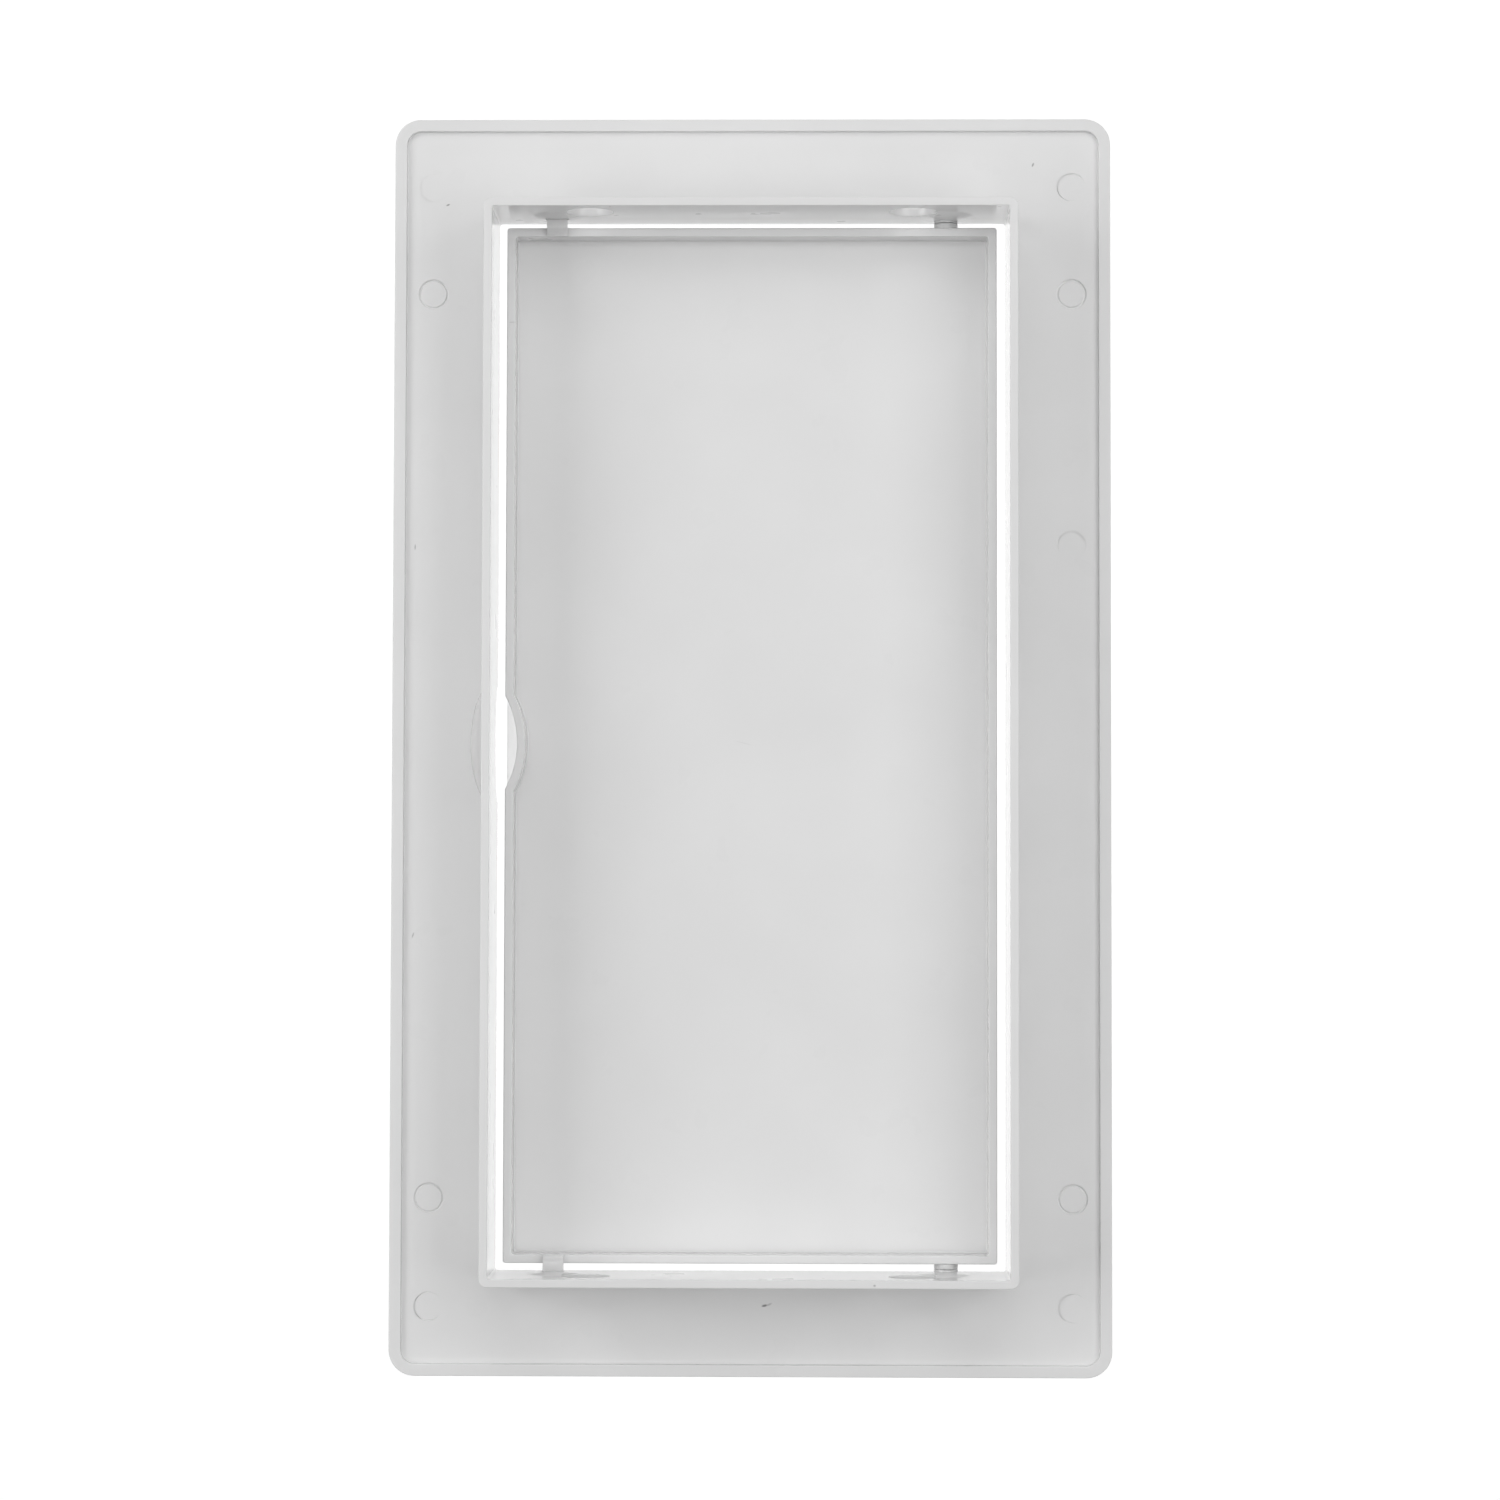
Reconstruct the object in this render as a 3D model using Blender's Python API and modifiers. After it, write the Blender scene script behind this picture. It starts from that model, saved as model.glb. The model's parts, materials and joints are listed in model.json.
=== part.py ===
"""Ceiling access panel: a moulded frame with a hinged door that snaps shut.

The panel lies face down: its visible face is on z = 0, and its collar stands up along +Z. The long
sides run along Y. The door hangs on two pins on its +X side, and two tongues hold its -X side.
Every length is in metres, written in millimetres times MM.
"""

import math

import bmesh
import bpy
from mathutils import Matrix, Vector

MM = 0.001

# Collar: the wall that goes through the hole in the ceiling board. Its width and length drive the
# flange and the door.
COLLAR_WIDTH = 146 * MM
COLLAR_LENGTH = 296.6 * MM
COLLAR_HEIGHT = 30 * MM
COLLAR_WALL = 2.3 * MM
COLLAR_CORNER = 2.2 * MM
COLLAR_EDGE_ROUND = 0.4 * MM

# Flange: a flat plate round the collar, its edge turned back toward the ceiling
FLANGE_SIDE_REACH = 27 * MM
FLANGE_END_REACH = 26.7 * MM
FLANGE_CORNER = 7.2 * MM
FLANGE_PLATE = 2.0 * MM
FLANGE_RIM_WIDTH = 3.3 * MM
FLANGE_RIM_HEIGHT = 1.5 * MM
FLANGE_FRONT_ROUND = 1.8 * MM

# Door: a plate with a rim all round, smaller than the opening by a gap
DOOR_GAP = 2.7 * MM
DOOR_PLATE = 2.0 * MM
DOOR_DEPTH = 10 * MM
DOOR_RIM = 2.35 * MM
DOOR_CORNER = 0.8 * MM
DOOR_FRONT_ROUND = 0.5 * MM

# Finger notch: an arc in the door's rim, and a scoop in the frame's visible face beside it
NOTCH_CHORD = 25.7 * MM
NOTCH_DEPTH = 3.3 * MM
SCOOP_REACH = 5.7 * MM
SCOOP_HALF_LENGTH = 16.4 * MM
SCOOP_HEIGHT = 9 * MM
SCOOP_WALL = 2.0 * MM

# Hinge and latch: the same distance in from the collar's long walls
PIVOT_INSET = 16.7 * MM
HINGE_HEIGHT = 6.5 * MM
HINGE_BOSS_RADIUS = 3.3 * MM
HINGE_BOSS_REACH = 1.1 * MM
PIN_RADIUS = 1.7 * MM
PIN_CLEARANCE = 0.3 * MM
PIN_SHOULDER = 0.7 * MM
PIN_ROOT = 1.4 * MM
PIN_JOURNAL = 2.7 * MM
PIN_CHAMFER = 0.3 * MM

# Pads: shallow lens-shaped thickenings of the short walls behind each pin and tongue
PAD_HALF_WIDTH = 8 * MM
PAD_HALF_HEIGHT = 10 * MM
PAD_DEPTH = 0.7 * MM
PAD_CENTRE_HEIGHT = 11.5 * MM

# Latch tongue: lies across the rim, and its tip sits in a slot in the pad
TONGUE_WIDTH = 5.7 * MM
TONGUE_INNER_THICKNESS = 0.9 * MM
TONGUE_RISE = 1.1 * MM
TONGUE_TIP_THICKNESS = 1.5 * MM
TONGUE_CORNER = 1.2 * MM
TONGUE_ROOT_WIDTH = 4.0 * MM
TONGUE_ROOT_THICKNESS = 0.75 * MM
TONGUE_ROOT_DEPTH = 2.8 * MM
TONGUE_TIP_CLEARANCE = 0.3 * MM

# Gap all round between a pin or tongue and the place in the door's rim that holds it
SEAT = 0.3 * MM

# Round holes through the collar's short walls, for fixings into the trimmed hole
SIDE_HOLE_RADIUS = 6.5 * MM
SIDE_HOLE_INSET = 28.5 * MM
SIDE_HOLE_DROP = 11 * MM

# Marks that the mould's ejector pins leave on the flange's back, in from its edges
EJECTOR_RADIUS = 3.9 * MM
EJECTOR_DEPTH = 0.15 * MM
EJECTOR_SIDE_INSET = 10.8 * MM
EJECTOR_END_INSETS = (19 * MM, 49 * MM)

# Shallow mark on the top of the door's latch-side rim, in from the door's upper end
RIM_MARK_WIDTH = 1.6 * MM
RIM_MARK_LENGTH = 4.0 * MM
RIM_MARK_DEPTH = 0.4 * MM
RIM_MARK_INSET = 28.3 * MM

# How far a cutter runs past the face that it cuts, and a joined shape runs into the other
OVER = 2 * MM
SINK = 1 * MM

# How near a corner lies to a plane that it counts as on
TOUCH = 0.01 * MM

ROUND_SEGMENTS = 48
SMALL_SEGMENTS = 24
WIDE_SEGMENTS = 96

# Grey as a linear value, and roughness, of each piece's plastic
FINISHES = {
    "frame_abs": (0.80, 0.38),
    "door_abs": (0.80, 0.35),
    "pin_abs": (0.76, 0.40),
    "tongue_abs": (0.78, 0.38),
}

# Sizes and places that follow from those above
FLANGE_WIDTH = COLLAR_WIDTH + 2 * FLANGE_SIDE_REACH
FLANGE_LENGTH = COLLAR_LENGTH + 2 * FLANGE_END_REACH
OPENING_WIDTH = COLLAR_WIDTH - 2 * COLLAR_WALL
OPENING_LENGTH = COLLAR_LENGTH - 2 * COLLAR_WALL
DOOR_WIDTH = OPENING_WIDTH - 2 * DOOR_GAP
DOOR_LENGTH = OPENING_LENGTH - 2 * DOOR_GAP
PIVOT_X = OPENING_WIDTH / 2 - PIVOT_INSET
WALL_FACE = OPENING_LENGTH / 2
BOSS_FACE = WALL_FACE - HINGE_BOSS_REACH
RIM_FACE = DOOR_LENGTH / 2
RIM_MIDDLE = RIM_FACE - DOOR_RIM / 2
TONGUE_BACK = DOOR_DEPTH + SEAT + TONGUE_INNER_THICKNESS + TONGUE_RISE
TONGUE_TIP = WALL_FACE - TONGUE_TIP_CLEARANCE
HINGE_AXIS = Vector((PIVOT_X, 0, HINGE_HEIGHT))


def clear_scene():
    for old in list(bpy.data.objects):
        bpy.data.objects.remove(old)


def new_collection(name):
    made = bpy.data.collections.new(name)
    bpy.context.scene.collection.children.link(made)
    return made


clear_scene()
PANEL = new_collection("ceiling_access_panel")
CUTTERS = new_collection("cutters")


def plastic(name):
    """White moulded ABS."""
    grey, roughness = FINISHES[name]
    made = bpy.data.materials.new(name)
    made.use_nodes = True
    shader = made.node_tree.nodes["Principled BSDF"]
    shader.inputs["Base Color"].default_value = (grey, grey, grey, 1)
    shader.inputs["Roughness"].default_value = roughness
    shader.inputs["Metallic"].default_value = 0
    made.diffuse_color = (grey, grey, grey, 1)
    return made


def mesh_object(name, shape, helper=False):
    """An object in world coordinates from a bmesh. A helper only cuts or joins, and never shows."""
    bmesh.ops.recalc_face_normals(shape, faces=shape.faces)
    mesh = bpy.data.meshes.new(name)
    shape.to_mesh(mesh)
    shape.free()
    made = bpy.data.objects.new(name, mesh)
    (CUTTERS if helper else PANEL).objects.link(made)
    if helper:
        made.hide_render = True
        made.display_type = "WIRE"
    return made


def boolean(target, operation, tool):
    step = target.modifiers.new(tool.name, "BOOLEAN")
    step.operation = operation
    step.solver = "EXACT"
    step.object = tool


def box_shape(low, high):
    shape = bmesh.new()
    bmesh.ops.create_cube(shape, size=1)
    low, high = Vector(low), Vector(high)
    bmesh.ops.scale(shape, vec=high - low, verts=shape.verts)
    bmesh.ops.translate(shape, vec=(low + high) / 2, verts=shape.verts)
    return shape


def box(name, low, high):
    return mesh_object(name, box_shape(low, high), helper=True)


def round_edges(shape, chosen, radius, segments):
    edges = [edge for edge in shape.edges if chosen(edge)]
    bmesh.ops.bevel(
        shape, geom=edges, offset=radius, segments=segments, profile=0.5, affect="EDGES"
    )


def upright(edge):
    ends = [corner.co for corner in edge.verts]
    return abs(ends[0].z - ends[1].z) > max(abs(ends[0].x - ends[1].x), abs(ends[0].y - ends[1].y))


def at_height(height):
    def chosen(edge):
        return all(abs(corner.co.z - height) < TOUCH for corner in edge.verts)

    return chosen


def rounded_slab(width, length, bottom, top, corner, segments=6):
    """A box centred on the Z axis whose four upright edges are rounded."""
    shape = box_shape((-width / 2, -length / 2, bottom), (width / 2, length / 2, top))
    round_edges(shape, upright, corner, segments)
    return shape


def cylinder(name, radius, start, end, segments=ROUND_SEGMENTS):
    """A helper cylinder from start to end, along any direction."""
    start, end = Vector(start), Vector(end)
    along = end - start
    shape = bmesh.new()
    turn = Vector((0, 0, 1)).rotation_difference(along).to_matrix().to_4x4()
    bmesh.ops.create_cone(
        shape,
        cap_ends=True,
        segments=segments,
        radius1=radius,
        radius2=radius,
        depth=along.length,
        matrix=Matrix.Translation((start + end) / 2) @ turn,
    )
    return mesh_object(name, shape, helper=True)


def ellipsoid(name, centre, half_axes):
    shape = bmesh.new()
    stretch = Matrix.Diagonal((*half_axes, 1))
    bmesh.ops.create_uvsphere(
        shape,
        u_segments=ROUND_SEGMENTS,
        v_segments=ROUND_SEGMENTS // 2,
        radius=1,
        matrix=Matrix.Translation(centre) @ stretch,
    )
    return mesh_object(name, shape, helper=True)


def arc_radius(chord, depth):
    return (chord**2 / 4 + depth**2) / (2 * depth)


def move_origin(made, point):
    """Puts the object's origin on a point without moving its shape."""
    made.data.transform(Matrix.Translation(-Vector(point)))
    made.location = point


def shade(made, degrees=30):
    made.data.shade_smooth()
    made.data.set_sharp_from_angle(angle=math.radians(degrees))


# Frame


def flange():
    top = FLANGE_PLATE + FLANGE_RIM_HEIGHT
    shape = rounded_slab(FLANGE_WIDTH, FLANGE_LENGTH, 0, top, FLANGE_CORNER)
    round_edges(shape, at_height(0), FLANGE_FRONT_ROUND, 4)
    made = mesh_object("frame", shape)
    shape = rounded_slab(
        FLANGE_WIDTH - 2 * FLANGE_RIM_WIDTH,
        FLANGE_LENGTH - 2 * FLANGE_RIM_WIDTH,
        FLANGE_PLATE,
        top + OVER,
        FLANGE_CORNER - FLANGE_RIM_WIDTH,
    )
    boolean(made, "DIFFERENCE", mesh_object("flange_back_recess", shape, helper=True))
    return made


def add_collar(frame):
    shape = rounded_slab(
        COLLAR_WIDTH, COLLAR_LENGTH, FLANGE_PLATE - SINK, COLLAR_HEIGHT, COLLAR_CORNER
    )
    round_edges(shape, at_height(COLLAR_HEIGHT), COLLAR_EDGE_ROUND, 2)
    boolean(frame, "UNION", mesh_object("collar_wall", shape, helper=True))


def scoop_ellipsoid(name, wall):
    """The scoop's surface, or the same surface a wall's thickness further out."""
    half_axes = (SCOOP_REACH + wall, SCOOP_HALF_LENGTH + wall, SCOOP_HEIGHT + wall)
    return ellipsoid(name, Vector((-OPENING_WIDTH / 2, 0, 0)), half_axes)


def add_scoop_back(frame):
    """The bulge that the scoop makes outside the collar, on the flange's back."""
    back = scoop_ellipsoid("scoop_back", SCOOP_WALL)
    outside = box(
        "scoop_back_limit",
        (-FLANGE_WIDTH / 2, -COLLAR_LENGTH / 2, FLANGE_PLATE / 2),
        (-OPENING_WIDTH / 2 - COLLAR_WALL / 2, COLLAR_LENGTH / 2, COLLAR_HEIGHT),
    )
    boolean(back, "INTERSECT", outside)
    boolean(frame, "UNION", back)


def cut_opening(frame):
    shape = box_shape(
        (-OPENING_WIDTH / 2, -OPENING_LENGTH / 2, -OVER),
        (OPENING_WIDTH / 2, OPENING_LENGTH / 2, COLLAR_HEIGHT + OVER),
    )
    boolean(frame, "DIFFERENCE", mesh_object("opening", shape, helper=True))


def add_pads(frame):
    """Thickened places behind the pins and tongues, and the bosses that the pins turn in."""
    half_axes = (PAD_HALF_WIDTH, PAD_DEPTH, PAD_HALF_HEIGHT)
    for side, across in (("hinge", PIVOT_X), ("latch", -PIVOT_X)):
        for end, sign in (("upper", 1), ("lower", -1)):
            centre = Vector((across, sign * WALL_FACE, PAD_CENTRE_HEIGHT))
            boolean(frame, "UNION", ellipsoid(f"{side}_pad_{end}", centre, half_axes))
            if side == "hinge":
                axis = Vector((across, 0, HINGE_HEIGHT))
                face = axis + Vector((0, sign * BOSS_FACE, 0))
                root = axis + Vector((0, sign * (WALL_FACE + SINK), 0))
                boss = cylinder(f"hinge_boss_{end}", HINGE_BOSS_RADIUS, face, root, SMALL_SEGMENTS)
                boolean(frame, "UNION", boss)


def cut_pin_bores(frame):
    """One long drill makes both blind bores, since nothing of the frame lies between them."""
    depth = RIM_FACE + SEAT + PIN_SHOULDER + PIN_JOURNAL + SEAT
    half = Vector((0, depth, 0))
    drill = cylinder(
        "pin_bores", PIN_RADIUS + PIN_CLEARANCE, HINGE_AXIS - half, HINGE_AXIS + half, SMALL_SEGMENTS
    )
    boolean(frame, "DIFFERENCE", drill)


def cut_latch_slots(frame):
    """The slots in the two latch pads, down to the wall's face."""
    half_width = TONGUE_WIDTH / 2 + SEAT
    slots = box(
        "latch_slots",
        (-PIVOT_X - half_width, -WALL_FACE, TONGUE_BACK - TONGUE_TIP_THICKNESS - SEAT),
        (-PIVOT_X + half_width, WALL_FACE, TONGUE_BACK + SEAT),
    )
    boolean(frame, "DIFFERENCE", slots)


def cut_side_holes(frame):
    across = COLLAR_WIDTH / 2 - SIDE_HOLE_INSET
    for side, sign in (("latch", -1), ("hinge", 1)):
        centre = Vector((sign * across, 0, COLLAR_HEIGHT - SIDE_HOLE_DROP))
        half = Vector((0, COLLAR_LENGTH / 2 + OVER, 0))
        drill = cylinder(f"side_holes_{side}", SIDE_HOLE_RADIUS, centre - half, centre + half)
        boolean(frame, "DIFFERENCE", drill)


def cut_ejector_marks(frame):
    shape = bmesh.new()
    across = FLANGE_WIDTH / 2 - EJECTOR_SIDE_INSET
    for inset in EJECTOR_END_INSETS:
        along = FLANGE_LENGTH / 2 - inset
        for x_sign in (-1, 1):
            for y_sign in (-1, 1):
                centre = Vector((x_sign * across, y_sign * along, FLANGE_PLATE))
                bmesh.ops.create_cone(
                    shape,
                    cap_ends=True,
                    segments=ROUND_SEGMENTS,
                    radius1=EJECTOR_RADIUS,
                    radius2=EJECTOR_RADIUS,
                    depth=2 * EJECTOR_DEPTH,
                    matrix=Matrix.Translation(centre),
                )
    boolean(frame, "DIFFERENCE", mesh_object("ejector_marks", shape, helper=True))


def build_frame():
    frame = flange()
    add_collar(frame)
    add_scoop_back(frame)
    cut_opening(frame)
    add_pads(frame)
    boolean(frame, "DIFFERENCE", scoop_ellipsoid("scoop", 0))
    cut_pin_bores(frame)
    cut_latch_slots(frame)
    cut_side_holes(frame)
    cut_ejector_marks(frame)
    frame.data.materials.append(plastic("frame_abs"))
    shade(frame)
    return frame


# Door


def add_notch(door):
    """The latch-side rim bows inward behind the finger notch, above the plate."""
    edge = -DOOR_WIDTH / 2
    radius = arc_radius(NOTCH_CHORD, NOTCH_DEPTH)
    low = Vector((edge + NOTCH_DEPTH - radius, 0, DOOR_PLATE - SINK))
    high = Vector((low.x, 0, DOOR_DEPTH))
    outer = cylinder("notch_rim", radius + DOOR_RIM, low, high, WIDE_SEGMENTS)
    inside = box(
        "notch_rim_limit",
        (edge + DOOR_RIM / 2, -NOTCH_CHORD, 0),
        (0, NOTCH_CHORD, DOOR_DEPTH + OVER),
    )
    boolean(outer, "INTERSECT", inside)
    boolean(door, "UNION", outer)
    low.z = DOOR_PLATE
    high.z = DOOR_DEPTH + OVER
    boolean(door, "DIFFERENCE", cylinder("notch_finger_space", radius, low, high, WIDE_SEGMENTS))


def cut_pin_seats(door):
    for end, sign in (("upper", 1), ("lower", -1)):
        inner = HINGE_AXIS + Vector((0, sign * (RIM_FACE - PIN_ROOT), 0))
        outer = HINGE_AXIS + Vector((0, sign * (RIM_FACE + OVER), 0))
        drill = cylinder(f"pin_seat_{end}", PIN_RADIUS + SEAT, inner, outer, SMALL_SEGMENTS)
        boolean(door, "DIFFERENCE", drill)


def cut_tongue_seats(door):
    half_width = TONGUE_ROOT_WIDTH / 2 + SEAT
    half_thickness = TONGUE_ROOT_THICKNESS / 2 + SEAT
    for end, sign in (("upper", 1), ("lower", -1)):
        middle = sign * RIM_MIDDLE
        seat = box(
            f"tongue_seat_{end}",
            (-PIVOT_X - half_width, middle - half_thickness, DOOR_DEPTH - TONGUE_ROOT_DEPTH - SEAT),
            (-PIVOT_X + half_width, middle + half_thickness, DOOR_DEPTH + OVER),
        )
        boolean(door, "DIFFERENCE", seat)


def cut_rim_mark(door):
    inner = -DOOR_WIDTH / 2 + DOOR_RIM
    middle = DOOR_LENGTH / 2 - RIM_MARK_INSET
    half = RIM_MARK_LENGTH / 2
    mark = box(
        "rim_mark",
        (inner - RIM_MARK_WIDTH, middle - half, DOOR_DEPTH - RIM_MARK_DEPTH),
        (inner + OVER, middle + half, DOOR_DEPTH + OVER),
    )
    boolean(door, "DIFFERENCE", mark)


def build_door(hinge):
    shape = rounded_slab(DOOR_WIDTH, DOOR_LENGTH, 0, DOOR_DEPTH, DOOR_CORNER, 3)
    round_edges(shape, at_height(0), DOOR_FRONT_ROUND, 2)
    door = mesh_object("door", shape)
    hollow = box(
        "door_hollow",
        (-DOOR_WIDTH / 2 + DOOR_RIM, -DOOR_LENGTH / 2 + DOOR_RIM, DOOR_PLATE),
        (DOOR_WIDTH / 2 - DOOR_RIM, DOOR_LENGTH / 2 - DOOR_RIM, DOOR_DEPTH + OVER),
    )
    boolean(door, "DIFFERENCE", hollow)
    add_notch(door)
    cut_pin_seats(door)
    cut_tongue_seats(door)
    cut_rim_mark(door)
    door.data.materials.append(plastic("door_abs"))
    shade(door)
    hang(door, hinge, HINGE_AXIS)


def hang(made, hinge, origin):
    """Hangs a piece on the hinge's empty, with its own origin at the given point."""
    move_origin(made, origin)
    made.parent = hinge
    made.location = Vector(origin) - hinge.location


# Hinge pins


def pin_profile():
    """Radius and height, from the journal's end down to the root's end."""
    journal_end = SEAT + PIN_SHOULDER + PIN_JOURNAL
    root_end = -PIN_ROOT + SEAT
    return (
        (0, journal_end),
        (PIN_RADIUS - PIN_CHAMFER, journal_end),
        (PIN_RADIUS, journal_end - PIN_CHAMFER),
        (PIN_RADIUS, SEAT + PIN_SHOULDER),
        (HINGE_BOSS_RADIUS, SEAT + PIN_SHOULDER),
        (HINGE_BOSS_RADIUS, SEAT),
        (PIN_RADIUS, SEAT),
        (PIN_RADIUS, root_end),
        (0, root_end),
    )


def build_pin(name, sign, finish, hinge):
    """A turned pin: root in the door's rim, shoulder in the gap, journal in the frame's boss."""
    mesh = bpy.data.meshes.new(name)
    points = [(radius, 0, height) for radius, height in pin_profile()]
    mesh.from_pydata(points, [(i, i + 1) for i in range(len(points) - 1)], [])
    pin = bpy.data.objects.new(name, mesh)
    PANEL.objects.link(pin)
    turn = pin.modifiers.new("turn", "SCREW")
    turn.axis = "Z"
    turn.steps = SMALL_SEGMENTS
    turn.render_steps = SMALL_SEGMENTS
    turn.use_merge_vertices = True
    turn.merge_threshold = TOUCH
    pin.data.materials.append(finish)
    pin.parent = hinge
    pin.location = (0, sign * RIM_FACE, 0)
    pin.rotation_euler.x = math.radians(-90 * sign)


# Latch tongues


def tongue_outline():
    """Side view: distance from the middle of the rim, outward, and height above the rim."""
    inner = -DOOR_RIM / 2
    tip = TONGUE_TIP - RIM_MIDDLE
    low = SEAT
    high = TONGUE_BACK - DOOR_DEPTH
    tip_low = high - TONGUE_TIP_THICKNESS
    slope = [(0.15, 0), (0.4, 0.22), (0.65, 0.62), (0.85, 0.92), (1, 1)]
    start = Vector((inner, SEAT + TONGUE_INNER_THICKNESS))
    end = Vector((DOOR_RIM / 2, high))
    upper = [
        (start.x + (end.x - start.x) * along, start.y + TONGUE_RISE * up) for along, up in slope
    ]
    nose = TONGUE_TIP_THICKNESS / 4
    return [
        (inner, low),
        (DOOR_RIM / 2, low),
        (DOOR_RIM / 2 + tip_low - low, tip_low),
        (tip - nose, tip_low),
        (tip, tip_low + nose),
        (tip, high - nose),
        (tip - nose, high),
        *reversed(upper),
        (inner, start.y),
    ]


def outline_solid(name, points, thickness):
    """A flat outline extruded to a thickness: its own X and Y become world Y and Z."""
    curve = bpy.data.curves.new(name, "CURVE")
    curve.dimensions = "2D"
    curve.fill_mode = "BOTH"
    curve.extrude = thickness / 2
    spline = curve.splines.new("POLY")
    spline.points.add(len(points) - 1)
    for point, place in zip(spline.points, points):
        point.co = (*place, 0, 1)
    spline.use_cyclic_u = True
    drawn = bpy.data.objects.new(name, curve)
    CUTTERS.objects.link(drawn)
    bpy.context.view_layer.update()
    mesh = bpy.data.meshes.new_from_object(
        drawn.evaluated_get(bpy.context.evaluated_depsgraph_get())
    )
    bpy.data.objects.remove(drawn)
    shape = bmesh.new()
    shape.from_mesh(mesh)
    bpy.data.meshes.remove(mesh)
    bmesh.ops.remove_doubles(shape, verts=shape.verts, dist=TOUCH)
    turn = Matrix(((0, 0, 1), (1, 0, 0), (0, 1, 0))).to_4x4()
    bmesh.ops.transform(shape, matrix=turn, verts=shape.verts)
    return shape


def build_tongue(name, sign, finish, hinge):
    shape = outline_solid(name, tongue_outline(), TONGUE_WIDTH)
    inner = -DOOR_RIM / 2

    def inner_corner(edge):
        return upright(edge) and all(abs(corner.co.y - inner) < TOUCH for corner in edge.verts)

    round_edges(shape, inner_corner, TONGUE_CORNER, 4)
    tongue = mesh_object(name, shape)
    half_width = TONGUE_ROOT_WIDTH / 2
    half_thickness = TONGUE_ROOT_THICKNESS / 2
    root = box(
        f"{name}_root",
        (-half_width, -half_thickness, -TONGUE_ROOT_DEPTH),
        (half_width, half_thickness, SEAT + TONGUE_INNER_THICKNESS / 2),
    )
    boolean(tongue, "UNION", root)
    tongue.data.materials.append(finish)
    shade(tongue)
    seat = Vector((-PIVOT_X, sign * RIM_MIDDLE, DOOR_DEPTH))
    for piece in (tongue, root):
        piece.parent = hinge
        piece.location = seat - hinge.location
        piece.rotation_euler.z = 0 if sign > 0 else math.pi


def main():
    hinge = bpy.data.objects.new("hinge_axis", None)
    hinge.location = HINGE_AXIS
    PANEL.objects.link(hinge)
    build_frame()
    build_door(hinge)
    pin_finish = plastic("pin_abs")
    tongue_finish = plastic("tongue_abs")
    for end, sign in (("upper", 1), ("lower", -1)):
        build_pin(f"hinge_pin_{end}", sign, pin_finish, hinge)
        build_tongue(f"latch_tongue_{end}", sign, tongue_finish, hinge)


main()
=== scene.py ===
"""The looks of a ceiling access panel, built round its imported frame.

The panel lies face down, seen from the ceiling void as in the photograph: +Z points into the void,
+Y runs along the long side and the door hangs on its +X side. All lengths are in metres.
"""

import json
import math

import bmesh
import bpy
from bpy.props import FloatProperty, FloatVectorProperty, IntProperty, PointerProperty
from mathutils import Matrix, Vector


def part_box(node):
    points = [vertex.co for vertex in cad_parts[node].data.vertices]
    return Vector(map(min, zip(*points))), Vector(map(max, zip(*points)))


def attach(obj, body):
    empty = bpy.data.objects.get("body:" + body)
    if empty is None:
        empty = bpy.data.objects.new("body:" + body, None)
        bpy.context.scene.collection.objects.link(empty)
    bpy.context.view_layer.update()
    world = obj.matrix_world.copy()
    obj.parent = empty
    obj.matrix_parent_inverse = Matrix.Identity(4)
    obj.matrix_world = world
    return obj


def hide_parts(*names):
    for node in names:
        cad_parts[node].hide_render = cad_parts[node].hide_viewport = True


bl_info = {
    "name": "Ceiling Access Panel",
    "version": (1, 0, 0),
    "blender": (4, 5, 0),
    "location": "View3D > Sidebar > Access Panel",
    "description": "Builds a moulded ceiling access panel with a hinged door",
    "category": "Object",
}

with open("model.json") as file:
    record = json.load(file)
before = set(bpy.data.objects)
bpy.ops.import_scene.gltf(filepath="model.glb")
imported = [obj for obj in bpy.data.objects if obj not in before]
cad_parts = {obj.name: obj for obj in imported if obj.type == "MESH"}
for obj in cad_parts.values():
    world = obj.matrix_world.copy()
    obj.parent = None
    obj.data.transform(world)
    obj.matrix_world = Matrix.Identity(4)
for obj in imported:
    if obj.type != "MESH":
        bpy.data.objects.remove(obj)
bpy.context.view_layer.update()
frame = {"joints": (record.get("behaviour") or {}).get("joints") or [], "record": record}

MM = 0.001

FRAME_LOW, FRAME_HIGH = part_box("frame")
DOOR_LOW, DOOR_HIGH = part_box("door")
HINGE_AXIS = Vector(frame["joints"][0]["pos_m"])

# How far a cutter runs past the face that it cuts, and how far joined shapes overlap
OVER = 2 * MM
SINK = 1 * MM

# How near a corner has to lie to a plane or an outline to count as on it
TOUCH = 0.02 * MM

# How near two corners have to lie to be merged into one
SAME = TOUCH / 10

# The least angle between two faces whose shared edge is a real one, and not a seam in a flat face
CREASE = math.radians(10)

# An edge that runs at least this many times as far up as across is upright, and a face with at
# least this share of its normal pointing a way faces that way
STEEPNESS = 10
FACING = 0.999
UP = Vector((0, 0, 1))

# The largest angle that is shaded smooth, and how much large faces outweigh small ones there
SMOOTH_ANGLE = math.radians(32)
FLAT_WEIGHT = 100


def linear(colour):
    """An sRGB hex colour as linear red, green, blue and alpha."""
    parts = [int(colour[i : i + 2], 16) / 255 for i in (1, 3, 5)]
    return (*(p / 12.92 if p <= 0.04045 else ((p + 0.055) / 1.055) ** 2.4 for p in parts), 1)


def length(name, default, description):
    return FloatProperty(
        name=name, default=default, description=description, unit="LENGTH", precision=5
    )


def colour(name, default, description):
    return FloatVectorProperty(
        name=name,
        default=linear(default),
        description=description,
        subtype="COLOR",
        size=4,
        min=0,
        max=1,
    )


def power(name, default, description):
    return FloatProperty(
        name=name, default=default, description=description, unit="POWER", min=0
    )


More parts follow.
